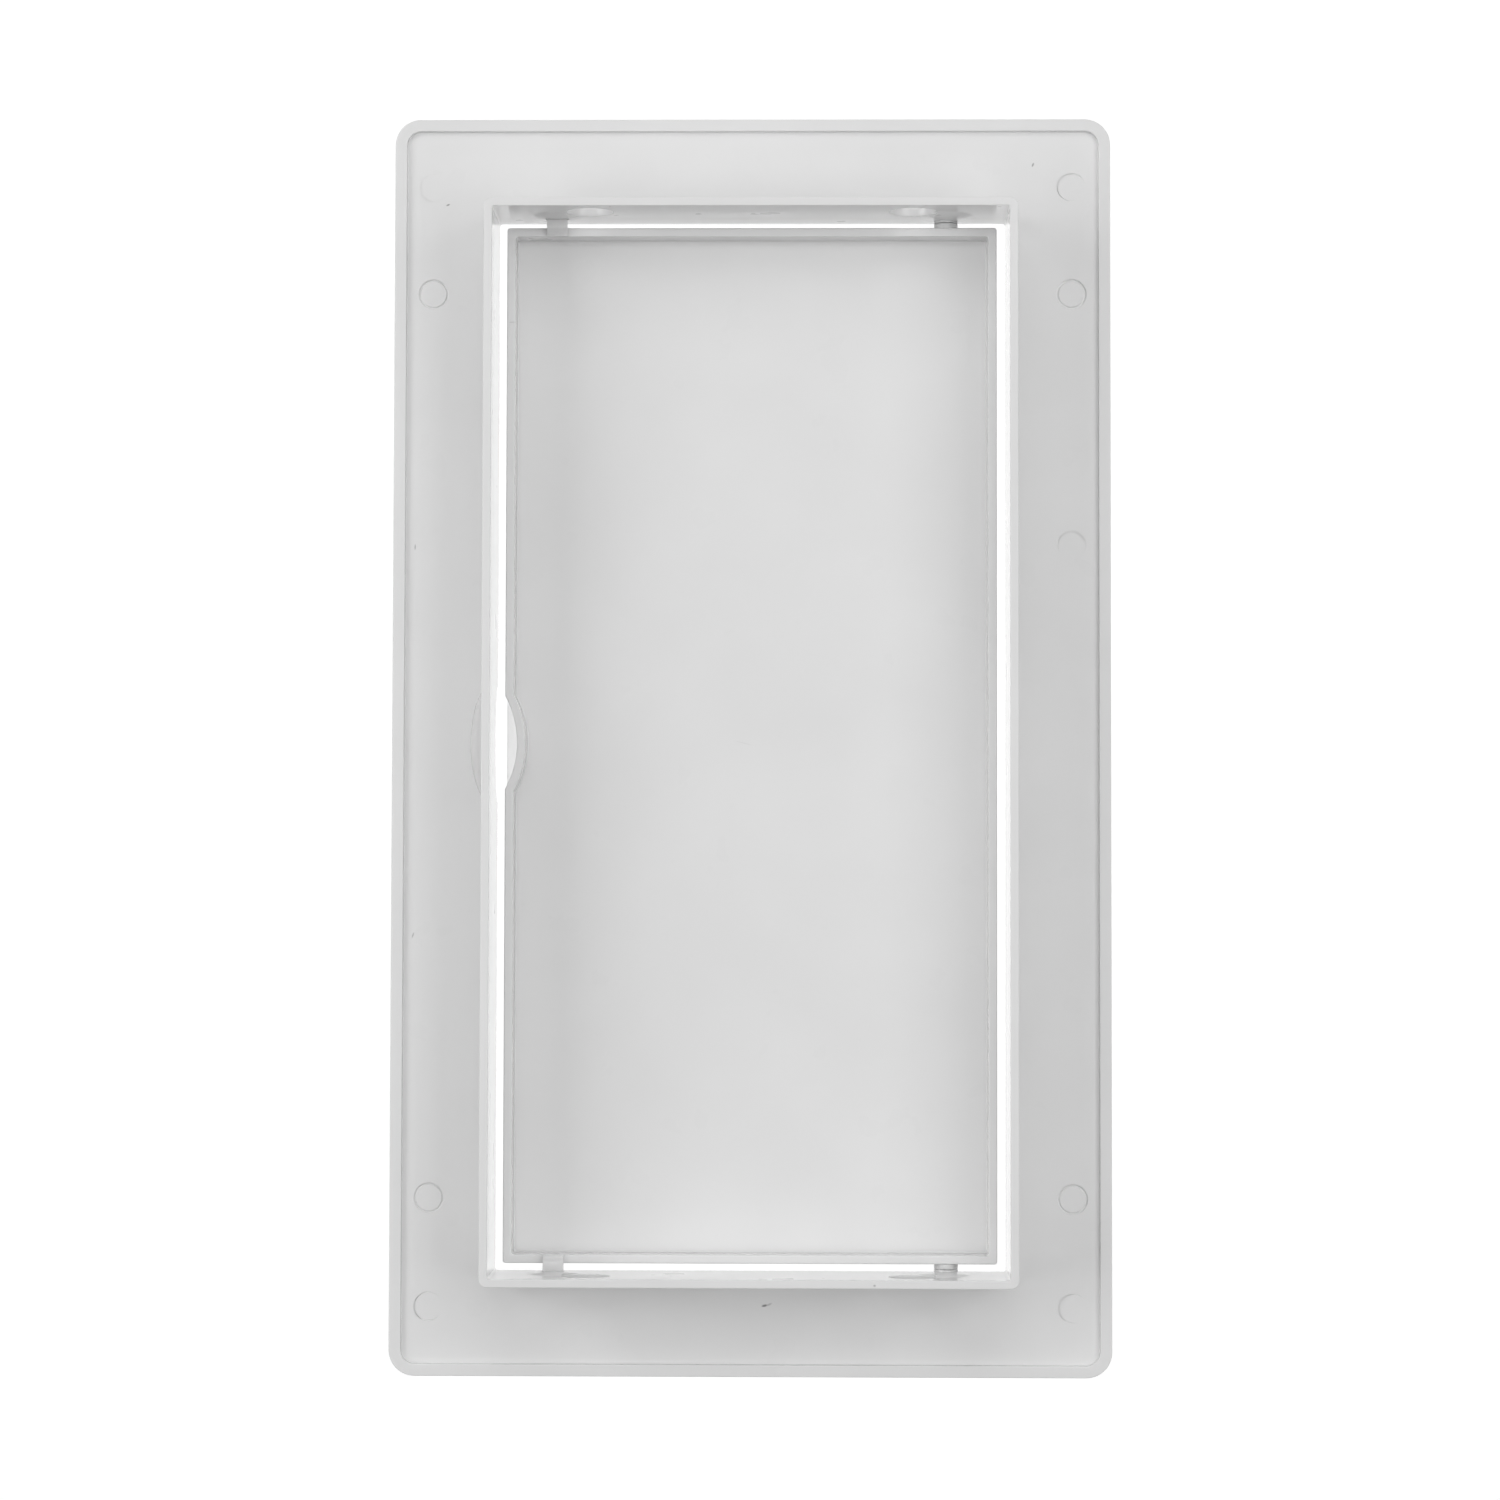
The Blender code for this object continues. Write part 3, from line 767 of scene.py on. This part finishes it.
def cut_fixing_hole(piece, across, wall, sign, collar, steps):
    """A round hole through a short wall, whose edges are rounded by the drill's flared ends."""
    height = FRAME_HIGH.z - collar.hole_drop
    inner, outer = wall, wall + sign * collar.wall
    drill = add_rod(
        "drill", (across, inner, height), (across, outer, height), collar.hole_radius, steps
    )
    for face, outward in ((inner, -sign), (outer, sign)):
        pick_faces(drill, Vector((0, outward, 0)))
        bpy.ops.transform.translate(value=(0, -outward * collar.hole_lip, 0))
        for step in range(LIP_STEPS):
            near, far = (math.radians(90 * part / LIP_STEPS) for part in (step, step + 1))
            grow = collar.hole_lip * (math.cos(near) - math.cos(far))
            push = collar.hole_lip * (math.sin(far) - math.sin(near))
            bpy.ops.mesh.extrude_region_move(
                TRANSFORM_OT_translate={"value": (0, outward * push, 0)}
            )
            radius = collar.hole_radius + collar.hole_lip * (1 - math.cos(near))
            share = (radius + grow) / radius
            bpy.ops.transform.resize(
                value=(share, 1, share), center_override=(across, face, height)
            )
        bpy.ops.mesh.extrude_region_move(TRANSFORM_OT_translate={"value": (0, outward * OVER, 0)})
        bpy.ops.object.mode_set(mode="OBJECT")
    cut(piece, drill)


def cut_mark(piece, mark, plate, radius, steps):
    """A shallow round dip, as an ejector pin leaves, with the groove that the pin's edge presses.
    Where the pin stood askew the groove leans, and shows on one side only."""
    (x, y), depth, groove, lean, toward = mark
    low = Vector((x, y, plate - depth))
    cut(piece, add_rod("dip", low, low + Vector((0, 0, OVER)), radius, steps))
    lean, toward = math.radians(lean), math.radians(toward)
    bpy.ops.object.select_all(action="DESELECT")
    bpy.ops.mesh.primitive_torus_add(
        location=low,
        rotation=(-lean * math.sin(toward), lean * math.cos(toward), 0),
        major_radius=radius,
        minor_radius=groove,
        major_segments=steps,
        minor_segments=GROOVE_STEPS,
    )
    cut(piece, settle("groove"))


def build_frame(panel):
    flange, collar, latch, hinge = panel.flange, panel.collar, panel.latch, panel.hinge
    steps = panel.round_steps
    piece = build_flange(flange)
    add_collar(piece, flange, collar)
    add_scoop(piece, collar, panel.scoop, steps)
    wall = collar.length / 2 - collar.wall
    for sign in (1, -1):
        for across in (HINGE_AXIS.x, -HINGE_AXIS.x):
            add_pad(piece, across, sign * wall, sign, latch, steps)
        add_boss(piece, sign * wall, sign, hinge, steps)
    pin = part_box("hinge_pin_upper")
    reach = Vector((0, pin[1].y + hinge.clearance, 0))
    bore = hinge.pin_radius + hinge.clearance
    cut(piece, add_rod("bores", HINGE_AXIS - reach, HINGE_AXIS + reach, bore, steps))
    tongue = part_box("latch_tongue_upper")
    half_width = latch.width / 2 + latch.gap
    cut(
        piece,
        add_block(
            "latch_slots",
            (-HINGE_AXIS.x - half_width, -wall - TOUCH, tongue[1].z - latch.tip - latch.gap),
            (-HINGE_AXIS.x + half_width, wall + TOUCH, tongue[1].z + latch.gap),
        ),
    )
    across = collar.width / 2 - collar.hole_inset
    for sign in (1, -1):
        for side in (across, -across):
            cut_fixing_hole(piece, side, sign * wall, sign, collar, steps)
    for mark in EJECTOR_MARKS:
        cut_mark(piece, mark, flange.plate, flange.mark_radius, steps)
    clean(piece)
    smooth(piece)
    short_wall = (
        (-collar.width / 2 + collar.wall + TOUCH, wall - OVER, 0),
        (collar.width / 2 - collar.wall - TOUCH, wall + TOUCH, FRAME_HIGH.z - collar.edge_round),
    )
    material = moulded_abs(
        "satin_white_abs_frame",
        panel.finish.frame_colour[:],
        panel.finish,
        FRAME_SCUFFS,
        dull_place=short_wall,
    )
    hand_over(piece, "frame", material)


# Door


def build_door(panel):
    door, hinge, latch, steps = panel.door, panel.hinge, panel.latch, panel.round_steps
    piece = add_block("door_tray", DOOR_LOW, DOOR_HIGH)
    pick_faces(piece, UP)
    bpy.ops.mesh.inset(thickness=door.rim)
    drop = DOOR_HIGH.z - door.plate
    bpy.ops.mesh.extrude_region_move(TRANSFORM_OT_translate={"value": (0, 0, -drop)})
    bpy.ops.object.mode_set(mode="OBJECT")
    round_edges(piece, upright, door.corner, segments=5)
    round_edges(piece, level(DOOR_LOW.z), door.front_round, segments=4)

    # The rim bows inward behind the finger notch, on an arc above the plate
    edge = DOOR_LOW.x
    radius = (door.notch_chord**2 / 4 + door.notch_depth**2) / (2 * door.notch_depth)
    low = Vector((edge + door.notch_depth - radius, 0, door.plate - SINK))
    high = Vector((low.x, 0, DOOR_HIGH.z))
    bow = add_rod("bow", low, high, radius + door.rim, BOW_TIMES * steps)
    inside = add_block(
        "inside", (edge + door.rim / 2, -door.notch_chord, 0), (0, door.notch_chord, 2 * high.z)
    )
    keep_within(bow, inside)
    join(piece, bow)
    low.z = door.plate
    high.z = DOOR_HIGH.z + OVER
    cut(piece, add_rod("finger_space", low, high, radius, BOW_TIMES * steps))
    clean(piece)
    on_plate = level(door.plate)

    def on_inner_foot(first, second):
        from_middle = min(math.hypot(point.x - low.x, point.y) for point in (first, second))
        return on_plate(first, second) and from_middle > radius + door.rim / 2

    round_edges(piece, on_inner_foot, door.fillet, segments=4)
    round_edges(piece, level(DOOR_HIGH.z), door.edge_round, segments=4)

    # Seats for the pins and tongues, and the small mark in the latch-side rim
    rim_middle = DOOR_HIGH.y - door.rim / 2
    for end, sign in (("upper", 1), ("lower", -1)):
        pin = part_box(f"hinge_pin_{end}")
        inner = min(abs(pin[0].y), abs(pin[1].y)) - hinge.clearance
        start = Vector((HINGE_AXIS.x, sign * inner, HINGE_AXIS.z))
        finish = Vector((HINGE_AXIS.x, sign * (DOOR_HIGH.y + OVER), HINGE_AXIS.z))
        cut(piece, add_rod("pin_seat", start, finish, hinge.pin_radius + hinge.clearance, steps))
        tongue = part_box(f"latch_tongue_{end}")
        half_width = latch.root_width / 2 + latch.gap
        half_thickness = latch.root_thickness / 2 + latch.gap
        middle = sign * rim_middle
        seat = add_block(
            "tongue_seat",
            (-HINGE_AXIS.x - half_width, middle - half_thickness, tongue[0].z - latch.gap),
            (-HINGE_AXIS.x + half_width, middle + half_thickness, DOOR_HIGH.z + OVER),
        )
        cut(piece, seat)
    inner = edge + door.rim
    middle = DOOR_HIGH.y - door.mark_inset
    mark = add_block(
        "rim_mark",
        (inner - door.mark_width, middle - door.mark_length / 2, DOOR_HIGH.z - door.mark_depth),
        (inner + OVER, middle + door.mark_length / 2, DOOR_HIGH.z + OVER),
    )
    cut(piece, mark)
    clean(piece)
    smooth(piece)
    ledge = (
        (edge - OVER, -door.notch_chord / 2, -SINK),
        (edge + door.notch_depth, door.notch_chord / 2, door.plate + TOUCH),
    )
    material = moulded_abs(
        "satin_white_abs_door",
        panel.finish.door_colour[:],
        panel.finish,
        DOOR_SCUFFS,
        thin_place=ledge,
    )
    hand_over(piece, "door", material)


# Hinge pins


def build_pins(panel):
    """Each pin starts as its shoulder, from which the journal and the root are drawn out."""
    hinge = panel.hinge

    def round_the_shoulder(first, second):
        from_axis = min(
            math.hypot(point.x - HINGE_AXIS.x, point.z - HINGE_AXIS.z) for point in (first, second)
        )
        return from_axis > hinge.boss_radius - TOUCH and abs(first.y - second.y) < TOUCH

    material = moulded_abs(
        "satin_white_abs_pins", panel.finish.pin_colour[:], panel.finish, polish=DULL_POLISH
    )
    for end, sign in (("upper", 1), ("lower", -1)):
        node = f"hinge_pin_{end}"
        low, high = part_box(node)
        face = sign * (DOOR_HIGH.y + TOUCH)
        start = Vector((HINGE_AXIS.x, face, HINGE_AXIS.z))
        finish = start + Vector((0, sign * hinge.shoulder, 0))
        pin = add_rod(f"{node}_turned", start, finish, hinge.boss_radius, panel.round_steps)
        ends = {sign: max(sign * low.y, sign * high.y), -sign: min(sign * low.y, sign * high.y)}
        for outward, reach in ends.items():
            pick_faces(pin, Vector((0, outward, 0)))
            bpy.ops.mesh.inset(thickness=hinge.boss_radius - hinge.pin_radius)
            here = sign * (finish.y if outward == sign else start.y)
            bpy.ops.mesh.extrude_region_move(
                TRANSFORM_OT_translate={"value": (0, sign * (reach - here), 0)}
            )
            bpy.ops.object.mode_set(mode="OBJECT")
            round_edges(pin, at_end(sign * reach), hinge.end_round, segments=3)
        round_edges(pin, round_the_shoulder, hinge.shoulder_round, segments=3)
        smooth(pin)
        hand_over(pin, node, material)


# Latch tongues


# Steps in which a tongue's back climbs, how much of the rim's width its first block covers, and the
# least angle of the edges that are rounded
CLIMB_STEPS = 10
BLOCK_SHARE = 0.1
EDGE_ANGLE = math.radians(40)


def tongue_stations(latch, start, run):
    """Distance out from the rim's inner face, and the heights of the underside and the back there,
    measured from the rim's top."""
    under = latch.gap
    top = latch.gap + latch.thickness
    for step in range(1, CLIMB_STEPS + 1):
        share = step / CLIMB_STEPS
        climb = share * share * (3 - 2 * share)
        yield start + share * run, under, top + latch.rise * climb
    lift = latch.thickness + latch.rise - latch.tip
    yield start + (run + lift), under + lift, top + latch.rise


def build_tongues(panel):
    """Each tongue lies across the rim, climbs toward its tip and has a root in the rim."""
    door, latch = panel.door, panel.latch
    material = moulded_abs(
        "satin_white_abs_tongues", panel.finish.tongue_colour[:], panel.finish, polish=DULL_POLISH
    )
    for end, sign in (("upper", 1), ("lower", -1)):
        node = f"latch_tongue_{end}"
        low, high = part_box(node)
        inner = DOOR_HIGH.y - door.rim
        tip = max(abs(low.y), abs(high.y))
        left, right = -HINGE_AXIS.x - latch.width / 2, -HINGE_AXIS.x + latch.width / 2
        rim_top = DOOR_HIGH.z
        start = BLOCK_SHARE * door.rim
        ends = sorted((sign * inner, sign * (inner + start)))
        tongue = add_block(
            f"{node}_moulded",
            (left, ends[0], rim_top + latch.gap),
            (right, ends[1], rim_top + latch.gap + latch.thickness),
        )
        reached = start
        under, top = latch.gap, latch.gap + latch.thickness
        stations = [*tongue_stations(latch, start, door.rim - start)]
        stations.append((tip - inner, *stations[-1][1:]))
        for out, next_under, next_top in stations:
            pick_faces(tongue, Vector((0, sign, 0)))
            bpy.ops.mesh.extrude_region_move(
                TRANSFORM_OT_translate={"value": (0, sign * (out - reached), next_under - under)}
            )
            bpy.ops.transform.resize(
                value=(1, 1, (next_top - next_under) / (top - under)),
                center_override=(0, 0, rim_top + next_under),
            )
            bpy.ops.object.mode_set(mode="OBJECT")
            reached, under, top = out, next_under, next_top
        round_edges(
            tongue,
            lambda first, second: upright(first, second) and abs(first.y - sign * inner) < TOUCH,
            latch.corner,
            segments=6,
        )
        clean(tongue)
        soften = tongue.modifiers.new("soften", "BEVEL")
        soften.width = latch.edge_round
        soften.segments = 3
        soften.limit_method = "ANGLE"
        soften.angle_limit = EDGE_ANGLE
        make_active(tongue)
        bpy.ops.object.modifier_apply(modifier=soften.name)
        middle = sign * (inner + door.rim / 2)
        root = add_block(
            "root",
            (-HINGE_AXIS.x - latch.root_width / 2, middle - latch.root_thickness / 2, low.z),
            (
                -HINGE_AXIS.x + latch.root_width / 2,
                middle + latch.root_thickness / 2,
                rim_top + latch.gap + latch.thickness / 2,
            ),
        )
        join(tongue, root)
        smooth(tongue)
        hand_over(tongue, node, material)


# Stage


# The camera fitted to the photograph: its place, its turn in degrees, its lens and sensor in mm,
# and how near and how far it sees
CAMERA_PLACE = Vector((17.22 * MM, -50.32 * MM, 1114.23 * MM))
CAMERA_TURN = (2.509, 0.899, 0.119)
CAMERA_LENS = 96
SENSOR = 36
CLIP = (0.01, 50)

# Lamps that face the panel: the name of each one's power, its place, and its width and height
LAMPS = (
    ("key", (0, 1.2, 1.3), (1.4, 0.9)),
    ("left", (-1.3, 0.15, 1.1), (1.4, 0.9)),
    ("right", (1.0, 0.1, 1.35), (1.4, 0.9)),
    ("top", (0, 0, 1.9), (1.2, 1.2)),
)

# The lamp below the panel: its width and height, and how far above the floor it lies
TABLE_SIZE = (1.6, 1.6)
TABLE_LIFT = 0.01

# The floor as the camera sees it: the colour that the lamps light, and the glow added to that
SEEN_GREY = (0.4, 0.4, 0.4, 1)
SEEN_GLOW = 0.78


def seen_directly(tree):
    """1 for what the camera sees straight, in a reflection or through something clear."""
    path = add_node(tree, "ShaderNodeLightPath", {})
    mirrored = add_node(
        tree,
        "ShaderNodeMath",
        {0: path.outputs["Is Camera Ray"], 1: path.outputs["Is Glossy Ray"]},
        operation="MAXIMUM",
    )
    return add_node(
        tree,
        "ShaderNodeMath",
        {0: mirrored.outputs[0], 1: path.outputs["Is Transmission Ray"]},
        operation="MAXIMUM",
    ).outputs[0]


def floor_paper(stage):
    """Matt white background paper. The camera sees it white, and a little less so in a shadow. Its
    underside doesn't show, so that the panel can be seen from below."""
    material = bpy.data.materials.new("matt_white_paper")
    material.use_nodes = True
    tree = material.node_tree
    tree.nodes.clear()
    paper = add_node(tree, "ShaderNodeBsdfDiffuse", {"Color": stage.floor_colour[:]})
    grey = add_node(tree, "ShaderNodeBsdfDiffuse", {"Color": SEEN_GREY})
    glow = add_node(tree, "ShaderNodeEmission", {"Strength": SEEN_GLOW})
    lit = add_node(tree, "ShaderNodeAddShader", {0: grey.outputs[0], 1: glow.outputs[0]})
    seen = seen_directly(tree)
    shown = add_node(
        tree, "ShaderNodeMixShader", {0: seen, 1: paper.outputs[0], 2: lit.outputs[0]}
    )
    clear = add_node(tree, "ShaderNodeBsdfTransparent", {})
    behind = add_node(tree, "ShaderNodeNewGeometry", {}).outputs["Backfacing"]
    both = add_node(
        tree, "ShaderNodeMixShader", {0: behind, 1: shown.outputs[0], 2: clear.outputs[0]}
    )
    add_node(tree, "ShaderNodeOutputMaterial", {"Surface": both.outputs[0]})
    return material


def studio_air(stage):
    """Even light from all round, with white behind everything."""
    world = bpy.data.worlds.new("studio_air")
    bpy.context.scene.world = world
    world.use_nodes = True
    tree = world.node_tree
    tree.nodes.clear()
    even = add_node(tree, "ShaderNodeBackground", {"Color": (1, 1, 1, 1), "Strength": stage.sky})
    white = add_node(tree, "ShaderNodeBackground", {"Color": (1, 1, 1, 1), "Strength": 1.0})
    seen = seen_directly(tree)
    both = add_node(
        tree, "ShaderNodeMixShader", {0: seen, 1: even.outputs[0], 2: white.outputs[0]}
    )
    add_node(tree, "ShaderNodeOutputWorld", {"Surface": both.outputs[0]})


def add_lamp(name, place, size, power):
    """A soft rectangular lamp that faces the panel."""
    place = Vector(place)
    bpy.ops.object.select_all(action="DESELECT")
    bpy.ops.object.light_add(
        type="AREA", location=place, rotation=(-place).to_track_quat("-Z", "Y").to_euler()
    )
    lamp = bpy.context.object
    lamp.name = name
    lamp.data.name = name
    lamp.data.shape = "RECTANGLE"
    lamp.data.size, lamp.data.size_y = size
    lamp.data.energy = power
    return lamp


def build_stage(panel):
    stage = panel.stage
    scene = bpy.context.scene
    bpy.ops.object.select_all(action="DESELECT")
    bpy.ops.mesh.primitive_plane_add(size=stage.floor_size, location=(0, 0, -stage.floor_drop))
    floor = settle("studio_floor")
    floor.data.materials.append(floor_paper(stage))
    studio_air(stage)
    for name, place, size in LAMPS:
        add_lamp(f"{name}_lamp", place, size, getattr(stage, f"{name}_power"))
    under = (0, 0, TABLE_LIFT - stage.floor_drop)
    table = add_lamp("table_lamp", under, TABLE_SIZE, stage.table_power)
    table.visible_camera = False
    table.visible_glossy = False
    bpy.ops.object.select_all(action="DESELECT")
    bpy.ops.object.camera_add(
        location=CAMERA_PLACE, rotation=[math.radians(turn) for turn in CAMERA_TURN]
    )
    camera = bpy.context.object
    camera.name = "photo_camera"
    camera.data.lens = CAMERA_LENS
    camera.data.sensor_width = SENSOR
    camera.data.clip_start, camera.data.clip_end = CLIP
    scene.camera = camera
    scene.view_settings.view_transform = "Standard"


# Operators and panel


class ACCESS_PANEL_OT_frame(bpy.types.Operator):
    """Builds the frame: flange, collar, finger scoop, pads, bosses, holes and mould marks"""

    bl_idname = "access_panel.frame"
    bl_label = "Build Frame"

    def execute(self, context):
        build_frame(context.scene.access_panel)
        return {"FINISHED"}


class ACCESS_PANEL_OT_door(bpy.types.Operator):
    """Builds the door: a shallow tray with a bow in its rim behind the finger notch"""

    bl_idname = "access_panel.door"
    bl_label = "Build Door"

    def execute(self, context):
        build_door(context.scene.access_panel)
        return {"FINISHED"}


class ACCESS_PANEL_OT_pins(bpy.types.Operator):
    """Builds the two hinge pins"""

    bl_idname = "access_panel.pins"
    bl_label = "Build Hinge Pins"

    def execute(self, context):
        build_pins(context.scene.access_panel)
        return {"FINISHED"}


class ACCESS_PANEL_OT_tongues(bpy.types.Operator):
    """Builds the two latch tongues"""

    bl_idname = "access_panel.tongues"
    bl_label = "Build Latch Tongues"

    def execute(self, context):
        build_tongues(context.scene.access_panel)
        return {"FINISHED"}


class ACCESS_PANEL_OT_stage(bpy.types.Operator):
    """Sets the floor, the lamps, the air and the camera"""

    bl_idname = "access_panel.stage"
    bl_label = "Set Stage"

    def execute(self, context):
        build_stage(context.scene.access_panel)
        return {"FINISHED"}


GROUPS = ("flange", "collar", "scoop", "door", "hinge", "latch", "finish", "stage")
OPERATORS = (
    ACCESS_PANEL_OT_frame,
    ACCESS_PANEL_OT_door,
    ACCESS_PANEL_OT_pins,
    ACCESS_PANEL_OT_tongues,
    ACCESS_PANEL_OT_stage,
)


class ACCESS_PANEL_PT_main(bpy.types.Panel):
    bl_label = "Ceiling Access Panel"
    bl_space_type = "VIEW_3D"
    bl_region_type = "UI"
    bl_category = "Access Panel"

    def draw(self, context):
        panel = context.scene.access_panel
        for operator in OPERATORS:
            self.layout.operator(operator.bl_idname)
        self.layout.prop(panel, "round_steps")
        for name in GROUPS:
            group = getattr(panel, name)
            box = self.layout.box()
            box.label(text=name.capitalize())
            for key in group.bl_rna.properties.keys():
                if key not in ("rna_type", "name"):
                    box.prop(group, key)


CLASSES = (
    FlangeSizes,
    CollarSizes,
    ScoopSizes,
    DoorSizes,
    HingeSizes,
    LatchSizes,
    Finish,
    StageSizes,
    AccessPanel,
    *OPERATORS,
    ACCESS_PANEL_PT_main,
)


def register():
    for made in CLASSES:
        bpy.utils.register_class(made)
    bpy.types.Scene.access_panel = PointerProperty(type=AccessPanel)


def unregister():
    del bpy.types.Scene.access_panel
    for made in reversed(CLASSES):
        bpy.utils.unregister_class(made)


def main():
    register()
    bpy.ops.access_panel.frame()
    bpy.ops.access_panel.door()
    bpy.ops.access_panel.pins()
    bpy.ops.access_panel.tongues()
    bpy.ops.access_panel.stage()


if __name__ == "__main__":
    main()
